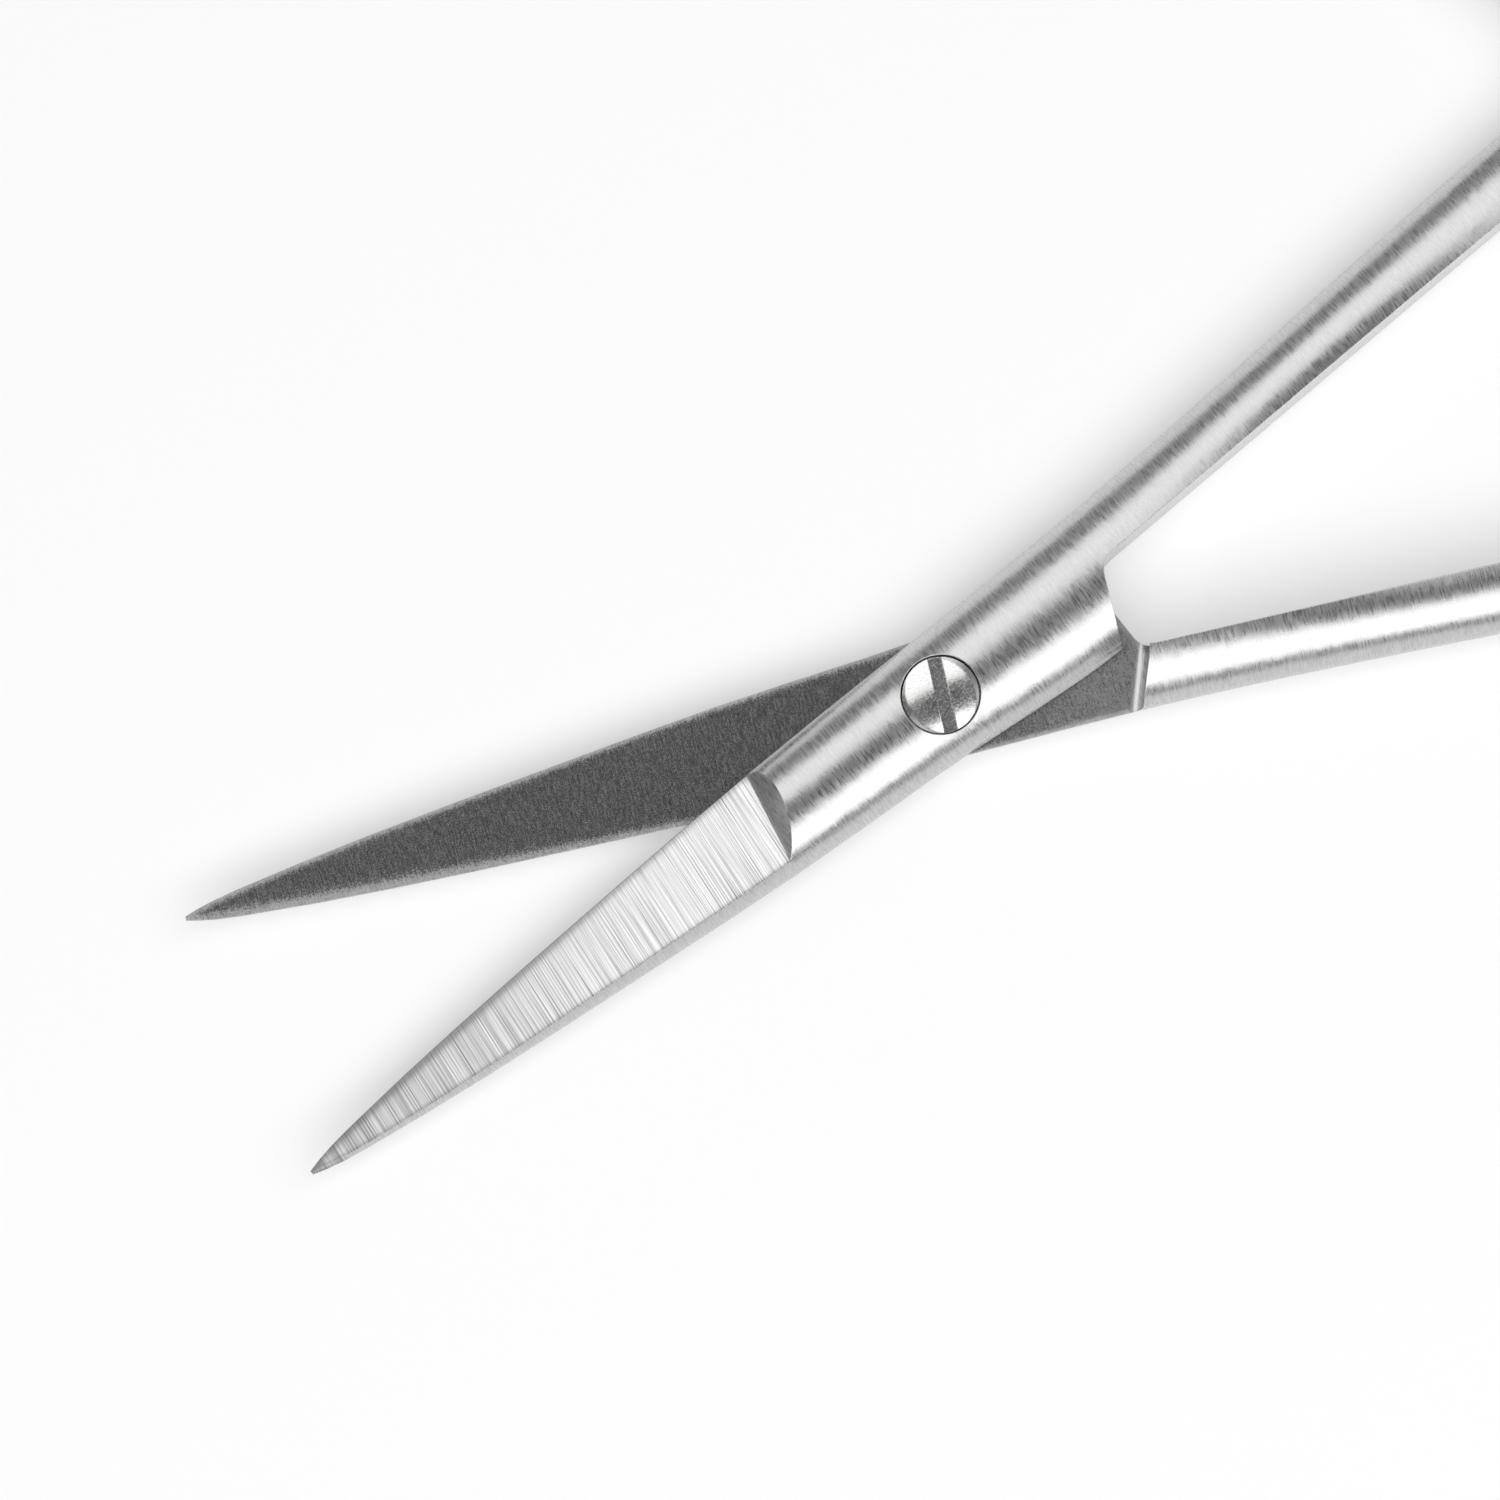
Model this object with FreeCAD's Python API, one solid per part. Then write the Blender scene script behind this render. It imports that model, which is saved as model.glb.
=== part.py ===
"""Cuticle scissors: two half-round steel halves that cross on a slotted pivot screw.

Each half is modelled closed, with the pivot on the Z axis, the mating plane at
Z = 0 and +X towards the finger rings. The front half lies above the mating
plane at the joint and on the +Y side along the handle. The rear half is the
same blank turned over about X. Both are then opened and set down on Z = 0.
Lengths are millimetres and angles are degrees.
"""

import FreeCAD
import Part
import math
import os

from FreeCAD import Vector

# Whole tool
OVERALL_LENGTH = 90.0        # tip to the far side of the rings, closed
OPENING = 20.8               # angle between the halves as they lie
MATING_GAP = 0.04            # between the two flat inner faces

# Blade
BLADE_LENGTH = 31.5          # pivot to tip
HEEL = 7.80                  # pivot to the step where the ground blade begins
HEEL_SLANT = 9.8             # of the step, its spine end towards the tip
HEEL_HALF_WIDTH = 2.23
TIP_HALF_WIDTH = 0.09
POINT_POWER = 0.62           # half width grows as this power of the distance from the tip
BLADE_ROUNDNESS = 0.80       # height of the half-round section over its half width
GRIND_ANGLE = 14.5           # outer face of the blade, up from the cutting edge to the spine
EDGE_THICKNESS = 0.16        # cutting edge at the heel and at the tip
HEEL_FOOT = 0.65             # heel to the foot of the step
HEEL_WALL_SLOPE = 50.0       # of the step, above the ground face
GRIND_RADIUS = 0.30          # corner of the grinding wheel, left at the foot of the step

# Joint
PIVOT_HALF_WIDTH = 2.50
PIVOT_HEIGHT = 1.88          # mating plane to the top of the half-round body
NECK = 8.0                   # pivot to the fullest section, where body and shank meet
NECK_HALF_WIDTH = 2.76
BODY_END = 8.12              # pivot to the end of the joint body, on the axis
BODY_END_FILLET = 0.95
JOINT_SLANT = 22.2           # of that end and of the shoulder it faces, outer side towards the blade
SHOULDER_CLEARANCE = 0.60    # from the body end to the other half's shoulder, closed, on the axis
SHOULDER_FILLET = 0.50

# Handle shank, a half-round bar with its flat side towards the other half
SHANK_END = 20.1             # ring's centre back to where the shank begins to thin
SHANK_END_INNER = 1.42       # axis to the flat side at that end
SHANK_INNER_SLOPE = 3.2
SHANK_MIDDLE_WIDTH = 2.50    # flat side to the round outer side, half way along
SHANK_MIDDLE_CROWN = 0.30    # flat side to the crown of the section, half way along
SHANK_END_WIDTH = 2.76
SHANK_END_CROWN = 0.24
SHANK_END_HEIGHT = 1.80

# Finger ring
RING_BORE_RADIUS = 9.7
RING_WIDTH = 2.3             # across the wall, seen from above
RING_HEIGHT = 2.8
RING_LAND = 1.4              # height of the straight band inside the bore
RING_GAP = 0.6               # between the two rings when the tips meet
RING_NECK_WIDTH = 2.80       # half way along the thinning end of the shank
RING_NECK_CROWN = 0.16
RING_NECK_HEIGHT = 1.55
RING_ENTRY_HEIGHT = 0.80     # end of the shank, buried in the ring's wall
RING_ENTRY_COVER = 0.05      # metal between that end and the bore
RING_FILLET = 3.0            # where the shank runs into the ring

# Pivot screw
SCREW_HEAD_RADIUS = 1.54
SCREW_HEAD_RIM = 1.42        # mating plane to the rim of the head
SCREW_HEAD_CROWN = 0.28      # rise of the domed top
SCREW_HEAD_SEAT = 0.66       # mating plane to the underside of the head
SCREW_RADIUS = 1.0
SCREW_TAIL = 1.68            # mating plane to the end of the screw, below
SCREW_TAIL_CROWN = 0.12
SLOT_WIDTH = 0.56
SLOT_DEPTH = 0.45
SLOT_ANGLE = 76.5            # from +X as the tool lies
SLOT_OFFSET = 0.08           # the slot is cut a little off the screw's axis
HEAD_CLEARANCE = 0.06        # round the head in its counterbore
PIVOT_CLEARANCE = 0.03       # round the screw in the front half, and under its head

# How far the cutting tools reach past the stock
REACH = 8.0

X_AXIS = Vector(1, 0, 0)
Z_AXIS = Vector(0, 0, 1)
ORIGIN = Vector(0, 0, 0)


def ring_outer_radius():
    return RING_BORE_RADIUS + RING_WIDTH


def ring_centre():
    """Centre of the front half's ring, closed."""
    outer = ring_outer_radius()
    return Vector(OVERALL_LENGTH - BLADE_LENGTH - outer, RING_GAP / 2 + outer, 0)


def shank_inner(x):
    """Distance from the axis to the flat side of the shank."""
    shank_end = ring_centre().x - SHANK_END
    return SHANK_END_INNER + (x - shank_end) * math.tan(math.radians(SHANK_INNER_SLOPE))


def section(x, y, half_width, half_height):
    """A full oval across the bar, centred on (x, y)."""
    size = FreeCAD.Matrix()
    size.scale(1, half_width, half_height)
    size.move(x, y, 0)
    unit = Part.Circle(ORIGIN, X_AXIS, 1).toShape()
    unit.rotate(ORIGIN, X_AXIS, 90)
    return Part.Wire(unit.transformGeometry(size))


def shank_section(x, width, crown, half_height):
    """An oval whose crown stands this far outside the flat side."""
    return section(x, shank_inner(x) + crown, width - crown, half_height)


def blade_sections(count=6):
    """Ovals from the tip to the heel, closer together towards the tip."""
    run = BLADE_LENGTH - HEEL
    blunt = (TIP_HALF_WIDTH / HEEL_HALF_WIDTH) ** (1 / POINT_POWER)
    found = []
    for i in range(count + 1):
        along = (i / count) ** 2
        half_width = HEEL_HALF_WIDTH * (blunt + (1 - blunt) * along) ** POINT_POWER
        found.append(section(run * along - BLADE_LENGTH, 0, half_width, half_width * BLADE_ROUNDNESS))
    return found


def bar():
    """The forged bar of one half, from the tip to inside the ring, before it is split and ground."""
    centre = ring_centre()
    shank_end = centre.x - SHANK_END
    shank_middle = (NECK + shank_end) / 2
    entry_back = math.sqrt((RING_BORE_RADIUS + RING_WIDTH / 2) ** 2 - RING_BORE_RADIUS ** 2)
    ring_entry = centre.x - entry_back
    ring_neck = (shank_end + ring_entry) / 2
    bore_side = centre.y - math.sqrt(RING_BORE_RADIUS ** 2 - entry_back ** 2)
    entry_width = bore_side - RING_ENTRY_COVER - shank_inner(ring_entry)
    sections = blade_sections()
    sections.append(section(0, 0, PIVOT_HALF_WIDTH, PIVOT_HEIGHT))
    sections.append(section(NECK, 0, NECK_HALF_WIDTH, PIVOT_HEIGHT))
    sections.append(shank_section(shank_middle, SHANK_MIDDLE_WIDTH, SHANK_MIDDLE_CROWN,
                                  (PIVOT_HEIGHT + SHANK_END_HEIGHT) / 2))
    sections.append(shank_section(shank_end, SHANK_END_WIDTH, SHANK_END_CROWN, SHANK_END_HEIGHT))
    sections.append(shank_section(ring_neck, RING_NECK_WIDTH, RING_NECK_CROWN, RING_NECK_HEIGHT))
    sections.append(shank_section(ring_entry, entry_width, RING_NECK_CROWN, RING_ENTRY_HEIGHT))
    return Part.makeLoft(sections, True, False)


def upright_edges(solid, x, y):
    """The straight edges of a tool that stand upright at (x, y)."""
    found = []
    for edge in solid.Edges:
        middle = edge.valueAt((edge.FirstParameter + edge.LastParameter) / 2)
        upright = abs(edge.tangentAt(edge.FirstParameter).z) > 0.99
        if upright and math.hypot(middle.x - x, middle.y - y) < 0.01:
            found.append(edge)
    return found


def joint_recess():
    """Tool that clears the other half's side of the mating plane, up to the handle's shoulder."""
    face = (BODY_END + SHOULDER_CLEARANCE) * math.cos(math.radians(JOINT_SLANT))
    length = face + BLADE_LENGTH + REACH
    tool = Part.makeBox(length, 2 * length, REACH, Vector(face - length, -length, MATING_GAP / 2 - REACH))
    rim = [edge for edge in tool.Edges if edge.BoundBox.ZMin > 0 and edge.BoundBox.XMin > 0]
    tool = tool.makeFillet(SHOULDER_FILLET, rim)
    tool.rotate(ORIGIN, Z_AXIS, JOINT_SLANT)
    return tool


def handle_gap():
    """Tool that ends the joint body and cuts the flat side of the shank."""
    flat_slope = math.tan(math.radians(SHANK_INNER_SLOPE))
    end_slope = math.tan(math.radians(JOINT_SLANT))
    corner_y = (shank_inner(0) + BODY_END * flat_slope) / (1 - end_slope * flat_slope)
    corner = Vector(BODY_END + corner_y * end_slope, corner_y, -REACH)
    body_end = Vector(BODY_END - REACH * end_slope, -REACH, -REACH)
    far_end = Vector(OVERALL_LENGTH, shank_inner(OVERALL_LENGTH), -REACH)
    far_side = Vector(OVERALL_LENGTH, -REACH, -REACH)
    outline = Part.makePolygon([body_end, corner, far_end, far_side, body_end])
    tool = Part.Face(outline).extrude(Z_AXIS * 2 * REACH)
    return tool.makeFillet(BODY_END_FILLET, upright_edges(tool, corner.x, corner.y))


def blade_grind():
    """Tool with a rounded corner that grinds the sloping outer face and leaves the heel step."""
    run = BLADE_LENGTH - HEEL
    slope = math.radians(HEEL_WALL_SLOPE)
    corner = GRIND_RADIUS * math.tan(slope / 2)
    start = Vector(-run - REACH, -REACH, 0)
    foot = Vector(-HEEL_FOOT - corner, -REACH, 0)
    bend = foot + Vector(GRIND_RADIUS * math.sin(slope / 2), 0, GRIND_RADIUS * (1 - math.cos(slope / 2)))
    wall = foot + Vector(GRIND_RADIUS * math.sin(slope), 0, GRIND_RADIUS * (1 - math.cos(slope)))
    top = Vector(REACH / math.tan(slope) - HEEL_FOOT, -REACH, REACH)
    back = Vector(-run - REACH, -REACH, REACH)
    edges = [
        Part.makeLine(start, foot),
        Part.Arc(foot, bend, wall).toShape(),
        Part.makeLine(wall, top),
        Part.makeLine(top, back),
        Part.makeLine(back, start),
    ]
    tool = Part.Face(Part.Wire(edges)).extrude(Vector(0, 2 * REACH, 0))
    rise_across = math.tan(math.radians(GRIND_ANGLE))
    rise_along = rise_across * HEEL_HALF_WIDTH / run
    normal = Vector(-rise_along, rise_across, 1).normalize()
    sideways = math.sin(math.radians(HEEL_SLANT))
    crossways = math.cos(math.radians(HEEL_SLANT))
    across = Vector(sideways, crossways, rise_along * sideways - rise_across * crossways).normalize()
    along = across.cross(normal)
    height = EDGE_THICKNESS + rise_across * HEEL_HALF_WIDTH
    tool.transformShape(FreeCAD.Matrix(along.x, across.x, normal.x, -HEEL,
                                       along.y, across.y, normal.y, 0,
                                       along.z, across.z, normal.z, height,
                                       0, 0, 0, 1))
    return tool


def ring():
    """Finger ring: an oval section swept round, with a straight band cut inside for the bore."""
    flank = math.sqrt(1 - (RING_LAND / RING_HEIGHT) ** 2)
    half_width = RING_WIDTH / (1 + flank)
    oval = section(0, ring_outer_radius() - half_width, half_width, RING_HEIGHT / 2)
    solid = Part.Face(oval).revolve(ORIGIN, Z_AXIS, 360)
    solid = solid.cut(Part.makeCylinder(RING_BORE_RADIUS, RING_HEIGHT, Vector(0, 0, -RING_HEIGHT / 2)))
    solid.translate(ring_centre())
    return solid


def half_blank():
    """One half, closed and front side up, without its pivot hole."""
    stock = bar().cut(joint_recess()).cut(handle_gap()).cut(blade_grind()).fuse(ring())
    ring_x = ring_centre().x
    shank_end = ring_x - SHANK_END
    ring_edges = [edge for edge in stock.Edges
                  if shank_end < edge.BoundBox.XMin and edge.BoundBox.XMax < ring_x]
    return stock.makeFillet(RING_FILLET, ring_edges)


def front_half():
    """The upper half, bored to turn on the screw and counterbored for its head."""
    bore = Part.makeCylinder(SCREW_RADIUS + PIVOT_CLEARANCE, REACH)
    seat = SCREW_HEAD_SEAT - PIVOT_CLEARANCE
    counterbore = Part.makeCylinder(SCREW_HEAD_RADIUS + HEAD_CLEARANCE, REACH, Vector(0, 0, seat))
    return half_blank().cut(bore.fuse(counterbore))


def rear_half():
    """The lower half, the same blank turned over, tapped for the screw."""
    blank = half_blank()
    blank.rotate(ORIGIN, X_AXIS, 180)
    return blank.cut(Part.makeCylinder(SCREW_RADIUS, REACH, Vector(0, 0, -REACH)))


def dome_radius(half_width, rise):
    """Radius of a ball that shows a cap of this half width and rise."""
    return (half_width ** 2 + rise ** 2) / (2 * rise)


def pivot_screw():
    """Slotted screw: domed head above the mating plane, plain body through both halves."""
    top = SCREW_HEAD_RIM + SCREW_HEAD_CROWN
    head_ball = dome_radius(SCREW_HEAD_RADIUS, SCREW_HEAD_CROWN)
    head = Part.makeCylinder(SCREW_HEAD_RADIUS, top - SCREW_HEAD_SEAT, Vector(0, 0, SCREW_HEAD_SEAT))
    head = head.common(Part.makeSphere(head_ball, Vector(0, 0, top - head_ball)))
    bottom = -SCREW_TAIL - SCREW_TAIL_CROWN
    tail_ball = dome_radius(SCREW_RADIUS, SCREW_TAIL_CROWN)
    body = Part.makeCylinder(SCREW_RADIUS, SCREW_HEAD_SEAT - bottom, Vector(0, 0, bottom))
    body = body.common(Part.makeSphere(tail_ball, Vector(0, 0, bottom + tail_ball)))
    slot_corner = Vector(-REACH, -SLOT_OFFSET - SLOT_WIDTH / 2, top - SLOT_DEPTH)
    slot = Part.makeBox(2 * REACH, SLOT_WIDTH, REACH, slot_corner)
    screw = head.fuse(body).cut(slot)
    screw.rotate(ORIGIN, Z_AXIS, SLOT_ANGLE)
    return screw


def pivot_position():
    """Where the pivot stands when the open tool is centred on the origin and rests on Z = 0."""
    turn = math.radians(OPENING / 2)
    centre = ring_centre()
    tip = -BLADE_LENGTH * math.cos(turn) - TIP_HALF_WIDTH * math.sin(turn)
    far = centre.x * math.cos(turn) - centre.y * math.sin(turn) + ring_outer_radius()
    return Vector(-(tip + far) / 2, 0, PIVOT_HEIGHT)


os.makedirs("parts", exist_ok=True)
front = front_half()
front.rotate(ORIGIN, Z_AXIS, OPENING / 2)
rear = rear_half()
rear.rotate(ORIGIN, Z_AXIS, -OPENING / 2)
for name, solid in (("front_half", front), ("rear_half", rear), ("pivot_screw", pivot_screw())):
    solid.translate(pivot_position())
    solid.exportStep("parts/" + name + ".step")
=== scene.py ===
import math

import bpy
from mathutils import Euler, Matrix, Vector

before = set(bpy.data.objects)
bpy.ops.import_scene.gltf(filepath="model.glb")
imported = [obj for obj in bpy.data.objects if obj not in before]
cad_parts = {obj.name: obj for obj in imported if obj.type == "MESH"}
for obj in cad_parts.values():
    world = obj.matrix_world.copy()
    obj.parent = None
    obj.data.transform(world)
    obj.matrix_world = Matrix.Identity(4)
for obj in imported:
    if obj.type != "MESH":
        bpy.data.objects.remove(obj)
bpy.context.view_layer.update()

# Rear half: the lower of two one-piece forgings of martensitic stainless steel, with blade, joint
# body, half-round shank and finger ring in one. It was ground on the blade, then given a satin
# finish by a fine belt run across its length. The pivot screw is driven into it.
PIVOT = Vector((-12.25847, 0.0, 1.88))       # mm, on the mating plane
HALF_TURN = math.radians(10.4)               # each half lies this far off the long axis
MM_PER_METRE = 1000.0
HEEL = 7.80                                  # mm, pivot to the step where the ground blade begins
GRIND_ANGLE = math.radians(14.5)
GRIND_RUN = 23.7                             # mm, heel to tip
HEEL_HALF_WIDTH = 2.23
EDGE_THICKNESS = 0.16
INNER_FACE = 0.02                            # mm, half the gap between the two inner faces


def linear(code):
    """An sRGB hex colour as linear RGBA."""
    shares = [int(code[i:i + 2], 16) / 255 for i in (1, 3, 5)]
    return tuple(c / 12.92 if c <= 0.04045 else ((c + 0.055) / 1.055) ** 2.4 for c in shares) + (1.0,)


def add(tree, kind, inputs=None, **settings):
    """A new node with its settings, and its inputs linked or set."""
    made = tree.nodes.new(kind)
    for name, value in settings.items():
        setattr(made, name, value)
    for key, value in (inputs or {}).items():
        if isinstance(value, bpy.types.NodeSocket):
            tree.links.new(value, made.inputs[key])
        else:
            made.inputs[key].default_value = value
    return made


def satin_steel(name, turned_over):
    """Satin stainless steel. The belt's fine cross marks break up each band of light along the
    round bar. The ground blade shows longer parallel scratches, and its ground face has rims of painted
    shade. The lapped inner face is smoother, so it mirrors the dark ceiling, with lighter scuffs along its
    rims."""
    material = bpy.data.materials.new(name)
    material.use_nodes = True
    tree = material.node_tree
    tree.nodes.clear()

    # Millimetres in the half's own frame: x towards the ring, z away from the mating plane
    turn = Euler((math.pi if turned_over else 0.0, 0.0, -HALF_TURN))
    place = add(tree, "ShaderNodeTexCoord").outputs["Object"]
    own = add(tree, "ShaderNodeMapping", {
        "Vector": place, "Location": -(turn.to_matrix() @ PIVOT), "Rotation": turn,
        "Scale": (MM_PER_METRE, MM_PER_METRE, MM_PER_METRE)}).outputs["Vector"]
    split = add(tree, "ShaderNodeSeparateXYZ", {"Vector": own})

    # Belt marks across the bar, drawn coarser than real so that they show
    mark_width = 0.06                        # mm
    mark_length = 0.6
    marks_at = add(tree, "ShaderNodeMapping", {
        "Vector": own, "Scale": (1 / mark_width, 1 / mark_length, 1 / mark_length)})
    marks = add(tree, "ShaderNodeTexNoise", {
        "Vector": marks_at.outputs["Vector"], "Scale": 1.0, "Detail": 2.0, "Roughness": 0.6}).outputs["Fac"]
    # Grit of the belt, also drawn coarser than real
    grit_size = 0.06                         # mm
    grit = add(tree, "ShaderNodeTexNoise", {
        "Vector": own, "Scale": 1 / grit_size, "Detail": 1.0, "Roughness": 0.5}).outputs["Fac"]

    # The flat inner face lies on the mating plane
    lap_slack = 0.012                        # mm off that plane
    lapped = add(tree, "ShaderNodeMath", {
        0: split.outputs["Z"], 1: INNER_FACE, 2: lap_slack}, operation="COMPARE").outputs["Value"]
    # The ground face of the blade lies in one plane
    grind_slack = 0.03                       # mm off that plane
    rise_across = math.tan(GRIND_ANGLE)
    rise_along = rise_across * HEEL_HALF_WIDTH / GRIND_RUN
    ground_normal = Vector((-rise_along, rise_across, 1.0)).normalized()
    ground_point = Vector((-HEEL, 0.0, EDGE_THICKNESS + rise_across * HEEL_HALF_WIDTH))
    height = add(tree, "ShaderNodeVectorMath", {0: own, 1: ground_normal}, operation="DOT_PRODUCT")
    on_plane = add(tree, "ShaderNodeMath", {
        0: height.outputs["Value"], 1: ground_normal.dot(ground_point), 2: grind_slack}, operation="COMPARE")
    on_blade = add(tree, "ShaderNodeMath", {0: split.outputs["X"], 1: -HEEL}, operation="LESS_THAN")
    on_face = add(tree, "ShaderNodeMath", {
        0: on_plane.outputs["Value"], 1: on_blade.outputs["Value"]}, operation="MULTIPLY")
    # The very end is ground all round to the point
    point_length = 1.6                       # mm
    on_point = add(tree, "ShaderNodeMath", {
        0: split.outputs["X"], 1: point_length - HEEL - GRIND_RUN}, operation="LESS_THAN")
    ground = add(tree, "ShaderNodeMath", {
        0: on_face.outputs["Value"], 1: on_point.outputs["Value"]}, operation="MAXIMUM").outputs["Value"]
    # Wheel scratches right across the ground face
    scratch_width = 0.06                     # mm
    scratch_length = 9.0
    scratch_slant = math.radians(4.0)
    scratch_turned = add(tree, "ShaderNodeMapping", {"Vector": own, "Rotation": (0.0, 0.0, scratch_slant)})
    scratch_at = add(tree, "ShaderNodeMapping", {
        "Vector": scratch_turned.outputs["Vector"],
        "Scale": (1 / scratch_width, 1 / scratch_length, 1 / scratch_length)})
    scratches = add(tree, "ShaderNodeTexNoise", {
        "Vector": scratch_at.outputs["Vector"], "Scale": 1.0, "Detail": 3.0, "Roughness": 0.7}).outputs["Fac"]

    # Every edge is broken a little
    edge_break = 0.00006                     # m
    soft_edge = add(tree, "ShaderNodeBevel", {"Radius": edge_break}, samples=8)
    # The steel beside an edge is scuffed, more so the nearer it is; on the ground face this mask also paints
    # shade along the rims
    scuff_reach = 0.0005                     # m
    near_edge = add(tree, "ShaderNodeBevel", {"Radius": scuff_reach}, samples=8)
    true_normal = add(tree, "ShaderNodeNewGeometry").outputs["True Normal"]
    upright = add(tree, "ShaderNodeVectorMath", {
        0: near_edge.outputs["Normal"], 1: true_normal}, operation="DOT_PRODUCT")
    edge_scuff_and_shade = add(tree, "ShaderNodeMapRange", {
        "Value": upright.outputs["Value"], "From Min": 1.0, "From Max": 0.8, "To Min": 0.0, "To Max": 0.7})
    rim_scuff_and_shade = edge_scuff_and_shade.outputs["Result"]
    scuffs = add(tree, "ShaderNodeMath", {0: rim_scuff_and_shade, 1: grit}, operation="MULTIPLY").outputs["Value"]

    # Marks, grit and scratches are cut into the surface, less deeply where it was lapped afterwards
    mark_share = 0.7                         # of the grit's depth
    relief_depth = 0.0000026                 # m
    belt_relief = add(tree, "ShaderNodeMath", {0: marks, 1: mark_share, 2: grit}, operation="MULTIPLY_ADD")
    relief = add(tree, "ShaderNodeMix", {
        "Factor": ground, "A": belt_relief.outputs["Value"], "B": scratches}, data_type="FLOAT")
    depth = add(tree, "ShaderNodeMix", {"Factor": lapped, "A": 1.0, "B": 0.6}, data_type="FLOAT")
    bump = add(tree, "ShaderNodeBump", {
        "Height": relief.outputs["Result"], "Strength": depth.outputs["Result"], "Distance": relief_depth,
        "Normal": soft_edge.outputs["Normal"]})

    # Bare steel, a little darker in each mark, clearly darker in the wheel's scratches, with painted
    #     shade at the rims of the ground face, and darker all over where it was lapped
    belt_tone = add(tree, "ShaderNodeValToRGB", {"Fac": marks})
    belt_tone.color_ramp.elements[0].position = 0.30
    belt_tone.color_ramp.elements[0].color = linear("#B9B9B9")
    belt_tone.color_ramp.elements[1].position = 0.66
    belt_tone.color_ramp.elements[1].color = linear("#D0D0D0")
    ground_tone = add(tree, "ShaderNodeValToRGB", {"Fac": scratches})
    ground_tone.color_ramp.elements[0].position = 0.32
    ground_tone.color_ramp.elements[0].color = linear("#868686")
    ground_tone.color_ramp.elements[1].position = 0.60
    ground_tone.color_ramp.elements[1].color = linear("#E6E6E6")
    lap_grain = add(tree, "ShaderNodeMix", {
        "Factor": 0.5, "A": marks, "B": grit}, data_type="FLOAT").outputs["Result"]
    lap_tone = add(tree, "ShaderNodeValToRGB", {"Fac": lap_grain})
    lap_tone.color_ramp.elements[0].position = 0.34
    lap_tone.color_ramp.elements[0].color = linear("#9C9C9C")
    lap_tone.color_ramp.elements[1].position = 0.60
    lap_tone.color_ramp.elements[1].color = linear("#C6C6C6")
    # Painted shade: the rims of the ground face are darkened towards #707070
    ground_rim_shade = add(tree, "ShaderNodeMix", {
        "Factor": rim_scuff_and_shade, "A": ground_tone.outputs["Color"], "B": linear("#707070")}, data_type="RGBA")
    blade_tone = add(tree, "ShaderNodeMix", {
        "Factor": ground, "A": belt_tone.outputs["Color"],
        "B": ground_rim_shade.outputs["Result"]}, data_type="RGBA")
    tone = add(tree, "ShaderNodeMix", {
        "Factor": lapped, "A": blade_tone.outputs["Result"],
        "B": lap_tone.outputs["Color"]}, data_type="RGBA")

    # The belt leaves the bar satin, the wheel leaves the blade rougher towards the point
    even_run = 4.0                           # mm of the ground face before it gets rougher
    belt_rough = add(tree, "ShaderNodeMapRange", {
        "Value": marks, "From Min": 0.3, "From Max": 0.7, "To Min": 0.23, "To Max": 0.37})
    ground_rough = add(tree, "ShaderNodeMapRange", {
        "Value": split.outputs["X"], "From Min": -HEEL - even_run, "From Max": -HEEL - GRIND_RUN,
        "To Min": 0.26, "To Max": 0.58})
    blade_rough = add(tree, "ShaderNodeMix", {
        "Factor": ground, "A": belt_rough.outputs["Result"],
        "B": ground_rough.outputs["Result"]}, data_type="FLOAT")
    # Belt marks are left in the lapped face, it is duller past the pivot and scuffed at its rims
    dull_from = -4.0                         # mm, along the half from the pivot
    dull_to = 6.0
    lap_marks = add(tree, "ShaderNodeMapRange", {
        "Value": lap_grain, "From Min": 0.40, "From Max": 0.75, "To Min": 0.16, "To Max": 0.27})
    lap_worn = add(tree, "ShaderNodeMapRange", {
        "Value": split.outputs["X"], "From Min": dull_from, "From Max": dull_to,
        "To Min": 0.0, "To Max": 0.11})
    lap_whole = add(tree, "ShaderNodeMath", {
        0: lap_marks.outputs["Result"], 1: lap_worn.outputs["Result"]}, operation="ADD")
    lap_rough = add(tree, "ShaderNodeMath", {
        0: lap_whole.outputs["Value"], 1: scuffs}, operation="ADD")
    rough = add(tree, "ShaderNodeMix", {
        "Factor": lapped, "A": blade_rough.outputs["Result"],
        "B": lap_rough.outputs["Value"]}, data_type="FLOAT")
    shader = add(tree, "ShaderNodeBsdfPrincipled", {
        "Base Color": tone.outputs["Result"], "Metallic": 1.0, "Roughness": rough.outputs["Result"],
        "Normal": bump.outputs["Normal"]})
    add(tree, "ShaderNodeOutputMaterial", {"Surface": shader.outputs["BSDF"]})
    return material


rear_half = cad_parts["rear_half"]
rear_half.material_slots[0].material = satin_steel("satin_stainless_steel_rear", True)

# Pivot screw: turned from stainless bar with a low domed head and a sawn slot, and polished after
# it was driven, so it is brighter than the halves. It is screwed into the rear half.
screw_steel = bpy.data.materials.new("polished_stainless_steel")
screw_steel.use_nodes = True
screw_tree = screw_steel.node_tree
screw_tree.nodes.clear()
screw_place = add(screw_tree, "ShaderNodeTexCoord").outputs["Object"]
screw_own = add(screw_tree, "ShaderNodeMapping", {
    "Vector": screw_place, "Location": -PIVOT, "Scale": (MM_PER_METRE, MM_PER_METRE, MM_PER_METRE)})
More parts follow.
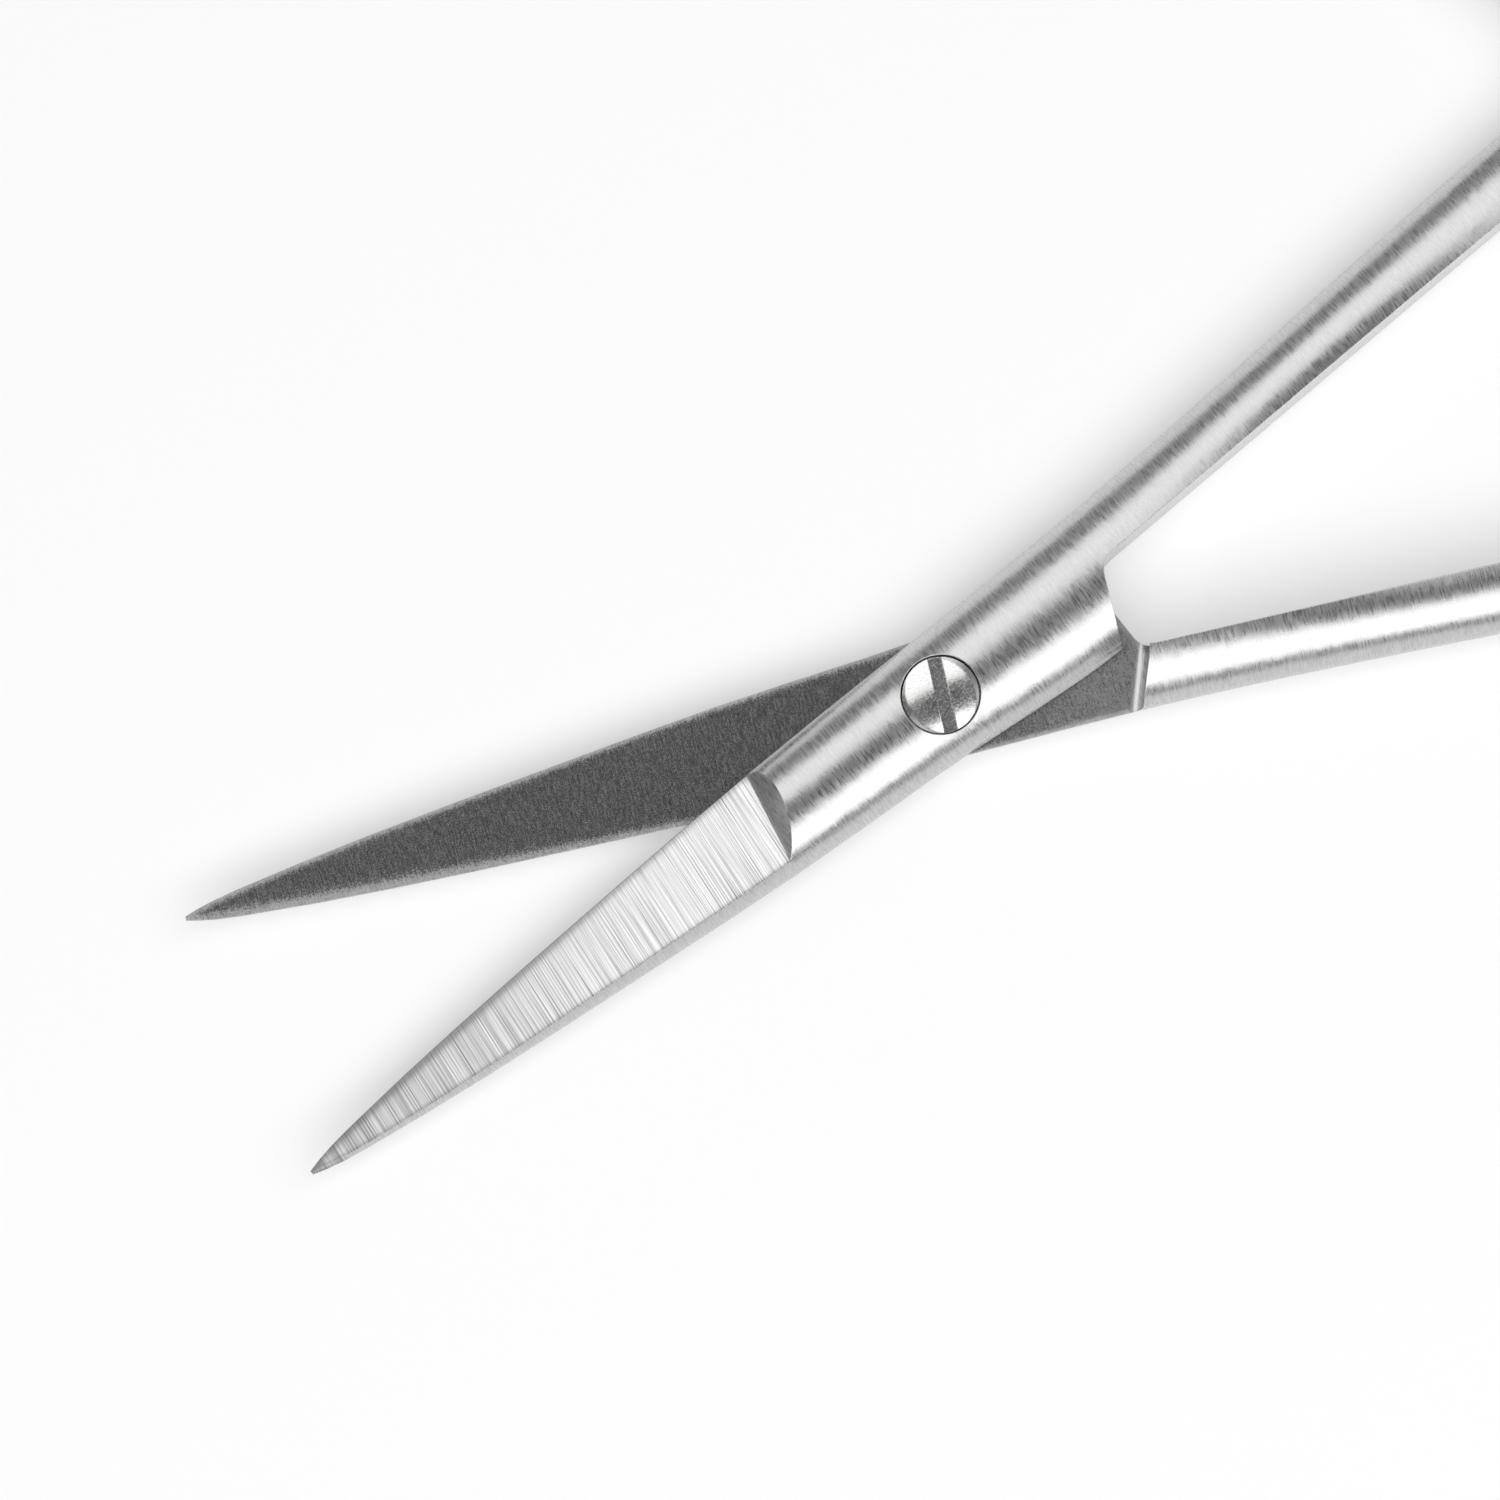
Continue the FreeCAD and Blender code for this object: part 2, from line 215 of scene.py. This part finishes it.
# Fine pits and polishing haze, drawn coarser than real so that they show
HAZE_SIZE = 0.09                             # mm
HAZE_DEPTH = 0.0000022                       # m
SCREW_EDGE_BREAK = 0.00006                   # m
screw_haze = add(screw_tree, "ShaderNodeTexNoise", {
    "Vector": screw_own.outputs["Vector"], "Scale": 1 / HAZE_SIZE,
    "Detail": 3.0, "Roughness": 0.6}).outputs["Fac"]
screw_rough = add(screw_tree, "ShaderNodeMapRange", {
    "Value": screw_haze, "From Min": 0.3, "From Max": 0.7, "To Min": 0.14, "To Max": 0.30})
screw_tone = add(screw_tree, "ShaderNodeValToRGB", {"Fac": screw_haze})
screw_tone.color_ramp.elements[0].position = 0.30
screw_tone.color_ramp.elements[0].color = linear("#C6C6C5")
screw_tone.color_ramp.elements[1].position = 0.60
screw_tone.color_ramp.elements[1].color = linear("#E6E6E5")
screw_edge = add(screw_tree, "ShaderNodeBevel", {"Radius": SCREW_EDGE_BREAK}, samples=6)
screw_bump = add(screw_tree, "ShaderNodeBump", {
    "Height": screw_haze, "Strength": 1.0, "Distance": HAZE_DEPTH,
    "Normal": screw_edge.outputs["Normal"]})
screw_shader = add(screw_tree, "ShaderNodeBsdfPrincipled", {
    "Base Color": screw_tone.outputs["Color"], "Metallic": 1.0, "Roughness": screw_rough.outputs["Result"],
    "Normal": screw_bump.outputs["Normal"]})
add(screw_tree, "ShaderNodeOutputMaterial", {"Surface": screw_shader.outputs["BSDF"]})
pivot_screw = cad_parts["pivot_screw"]
pivot_screw.material_slots[0].material = screw_steel

# Front half: the same forging as the rear half, turned over, laid on it and held by the screw.
# It has the same steel and the same belt finish, with the marks across its own length.
front_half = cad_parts["front_half"]
front_half.material_slots[0].material = satin_steel("satin_stainless_steel_front", False)

# Studio: a white sheet to lie on, a bright softbox on the near side and a weaker one on the far
# side, which only the metal shows, one overhead that lights only the sheet, and a dark ceiling.
SHEET_SIZE = 3.0                             # m
SHEET_DROP = 0.00002                         # m under the tool, so that the two share no plane
bpy.ops.mesh.primitive_plane_add(size=SHEET_SIZE, location=(0.0, 0.0, -SHEET_DROP))
floor = bpy.context.object
floor.name = "floor"
floor_sheet = bpy.data.materials.new("matt_white_sheet")
floor_sheet.use_nodes = True
floor_tree = floor_sheet.node_tree
floor_tree.nodes.clear()
floor_matt = add(floor_tree, "ShaderNodeBsdfDiffuse", {"Color": linear("#F8F8F8")})
# Seen by the camera or in the metal, the sheet is part white of its own, which thins the shadow
floor_white = add(floor_tree, "ShaderNodeEmission", {"Color": linear("#FFFFFF"), "Strength": 1.0})
floor_path = add(floor_tree, "ShaderNodeLightPath")
floor_seen = add(floor_tree, "ShaderNodeMath", {
    0: floor_path.outputs["Is Camera Ray"], 1: floor_path.outputs["Is Glossy Ray"]}, operation="MAXIMUM")
floor_shown = add(floor_tree, "ShaderNodeMath", {
    0: floor_seen.outputs["Value"], 1: floor_path.outputs["Is Transmission Ray"]}, operation="MAXIMUM")
OWN_WHITE = 0.3                              # share of the sheet's look
floor_share = add(floor_tree, "ShaderNodeMath", {
    0: floor_shown.outputs["Value"], 1: OWN_WHITE}, operation="MULTIPLY")
floor_mix = add(floor_tree, "ShaderNodeMixShader", {
    "Fac": floor_share.outputs["Value"], 1: floor_matt.outputs["BSDF"], 2: floor_white.outputs["Emission"]})
add(floor_tree, "ShaderNodeOutputMaterial", {"Surface": floor_mix.outputs["Shader"]})
floor.data.materials.append(floor_sheet)


def softbox(name, side, low, high, reach, radiance):
    """A wide panel on one side of the tool, facing it, from one elevation to another. It reaches
    this far to each end. These angles are degrees."""
    distance = 0.6                           # m
    middle = math.radians((low + high) / 2)
    half_angle = math.radians((high - low) / 2)
    light = bpy.data.lights.new(name, "AREA")
    light.shape = "RECTANGLE"
    light.size = 2 * distance * math.tan(math.radians(reach))
    light.size_y = 2 * distance * math.tan(half_angle)
    light.energy = radiance * math.pi * light.size * light.size_y
    panel = bpy.data.objects.new(name, light)
    towards = Vector((0.0, side * math.cos(middle), math.sin(middle)))
    panel.location = towards * distance
    panel.rotation_euler = towards.to_track_quat("Z", "Y").to_euler()
    panel.visible_camera = False
    bpy.context.scene.collection.objects.link(panel)
    return panel


near_softbox = softbox("near_softbox", side=-1, low=22, high=68, reach=55, radiance=1.9)
near_softbox.visible_diffuse = False
far_softbox = softbox("far_softbox", side=1, low=38, high=77, reach=55, radiance=1.28)
far_softbox.visible_diffuse = False
overhead_softbox = softbox("overhead_softbox", side=-1, low=42, high=104, reach=50, radiance=1.95)
overhead_softbox.visible_glossy = False

# The ceiling that the metal mirrors is darkest right above, and lighter towards the walls
world = bpy.data.worlds.new("dark_studio")
world.use_nodes = True
world_tree = world.node_tree
sky_way = add(world_tree, "ShaderNodeTexCoord").outputs["Generated"]
sky_split = add(world_tree, "ShaderNodeSeparateXYZ", {"Vector": sky_way})
sky_tone = add(world_tree, "ShaderNodeMapRange", {
    "Value": sky_split.outputs["Z"], "From Min": 0.70, "From Max": 0.96, "To Min": 0.26, "To Max": 0.11})
world_tree.links.new(sky_tone.outputs["Result"], world_tree.nodes["Background"].inputs["Color"])
bpy.context.scene.world = world

# Camera: almost straight above, leaning 4.6 degrees to the near side, with a 60 mm wide frame
LEAN = math.radians(4.6)
AXIS_SLOPE = math.radians(26.75)             # the tool's long axis above the picture's horizontal
FRAME_WIDTH = 0.060                          # m, at the height of the mating plane
camera_data = bpy.data.cameras.new("camera")
camera_data.lens = 200.0
camera_data.sensor_width = 36.0
camera = bpy.data.objects.new("camera", camera_data)
back = Vector((0.0, -math.sin(LEAN), math.cos(LEAN)))
right = Vector((math.cos(AXIS_SLOPE), -math.sin(AXIS_SLOPE), 0.0))
right = (right - back * right.dot(back)).normalized()
up = back.cross(right)
aim = Vector((-0.020027, 0.001569, 0.00188))
stand_off = FRAME_WIDTH * camera_data.lens / camera_data.sensor_width
camera.location = aim + back * stand_off
camera.rotation_mode = "QUATERNION"
camera.rotation_quaternion = Matrix((right, up, back)).transposed().to_quaternion()
bpy.context.scene.collection.objects.link(camera)
bpy.context.scene.camera = camera
bpy.context.scene.view_settings.view_transform = "Standard"
